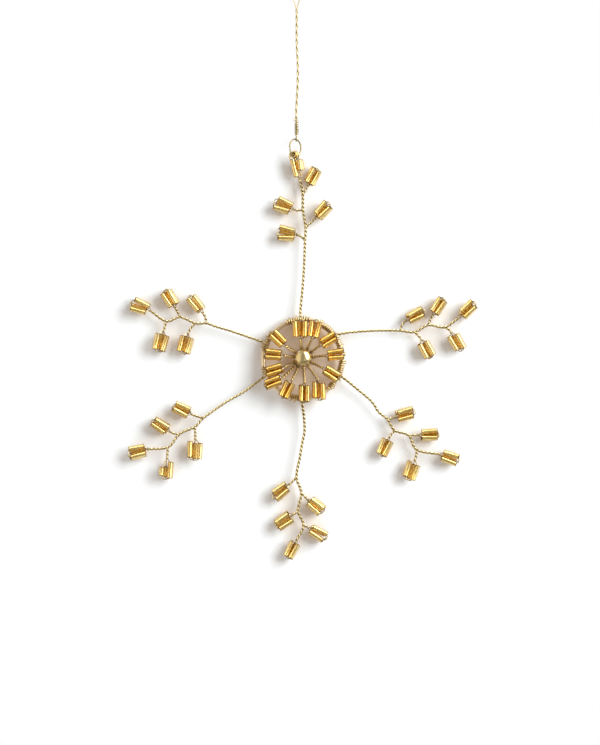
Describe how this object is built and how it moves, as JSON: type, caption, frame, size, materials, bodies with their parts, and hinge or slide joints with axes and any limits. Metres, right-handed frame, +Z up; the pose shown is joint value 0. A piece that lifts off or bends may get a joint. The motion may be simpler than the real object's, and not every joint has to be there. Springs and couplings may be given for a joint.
{
  "type": "snowflake ornament",
  "caption": "Hanging snowflake ornament: a brass ring round a ball, branched arms of twisted gold wire and bundles of amber bugle beads, on a jump ring and a twisted hanger with a loop.",
  "frame": {"origin": "inside of the hanging loop's bend, where a hook carries the ornament", "axes": "+Z up along the hanger, -Y out of the snowflake's front, +X to the right seen from the front"},
  "size_m": [0.1312, 0.0094, 0.2212],
  "materials": {
    "gold_wire": "bright drawn wire, gold coloured",
    "ring_brass": "satin, slightly pink",
    "polished_brass": "mirror polished",
    "amber_glass": "silver-lined amber glass, glossy"
  },
  "bodies": {
    "hook_loop": {"hanging_loop": "gold_wire"},
    "hanger": {"hanger_wire": "gold_wire", "hanger_eye": "gold_wire"},
    "jump_link": {"jump_ring": "gold_wire"},
    "snowflake": {"arm_bottom": "gold_wire", "arm_bottom_beads_1": "amber_glass", "arm_bottom_beads_2": "amber_glass", "arm_bottom_beads_3": "amber_glass", "arm_bottom_beads_4": "amber_glass", "arm_bottom_beads_5": "amber_glass", "arm_lower_left": "gold_wire", "arm_lower_left_beads_1": "amber_glass", "arm_lower_left_beads_2": "amber_glass", "arm_lower_left_beads_3": "amber_glass", "arm_lower_left_beads_4": "amber_glass", "arm_lower_left_beads_5": "amber_glass", "arm_lower_right": "gold_wire", "arm_lower_right_beads_1": "amber_glass", "arm_lower_right_beads_2": "amber_glass", "arm_lower_right_beads_3": "amber_glass", "arm_lower_right_beads_4": "amber_glass", "arm_lower_right_beads_5": "amber_glass", "arm_top": "gold_wire", "arm_top_beads_1": "amber_glass", "arm_top_beads_2": "amber_glass", "arm_top_beads_3": "amber_glass", "arm_top_beads_4": "amber_glass", "arm_top_beads_5": "amber_glass", "arm_upper_left": "gold_wire", "arm_upper_left_beads_1": "amber_glass", "arm_upper_left_beads_2": "amber_glass", "arm_upper_left_beads_3": "amber_glass", "arm_upper_left_beads_4": "amber_glass", "arm_upper_left_beads_5": "amber_glass", "arm_upper_right": "gold_wire", "arm_upper_right_beads_1": "amber_glass", "arm_upper_right_beads_2": "amber_glass", "arm_upper_right_beads_3": "amber_glass", "arm_upper_right_beads_4": "amber_glass", "arm_upper_right_beads_5": "amber_glass", "centre_ball": "polished_brass", "hub_beads_01": "amber_glass", "hub_beads_02": "amber_glass", "hub_beads_03": "amber_glass", "hub_beads_04": "amber_glass", "hub_beads_05": "amber_glass", "hub_beads_06": "amber_glass", "hub_beads_07": "amber_glass", "hub_beads_08": "amber_glass", "hub_beads_09": "amber_glass", "hub_beads_10": "amber_glass", "hub_beads_11": "amber_glass", "hub_beads_12": "amber_glass", "hub_ring": "ring_brass", "hub_spokes": "gold_wire", "ring_binding_1": "gold_wire", "ring_binding_2": "gold_wire"}
  },
  "joints": [
    {"name": "hanger_twist", "type": "hinge", "parent": "hook_loop", "child": "hanger", "pos_m": [0, 0, -0.0145], "axis": [0, 0, 1], "range_deg": [-180, 180]},
    {"name": "jump_ring_swing", "type": "hinge", "parent": "hanger", "child": "jump_link", "pos_m": [-0.00051, 0, -0.06274], "axis": [0.6428, 0.766, 0], "range_deg": [-60, 60]},
    {"name": "snowflake_sway", "type": "hinge", "parent": "jump_link", "child": "snowflake", "pos_m": [-0.00051, 0, -0.06602], "axis": [-0.766, 0.6428, 0], "range_deg": [-45, 45]}
  ]
}
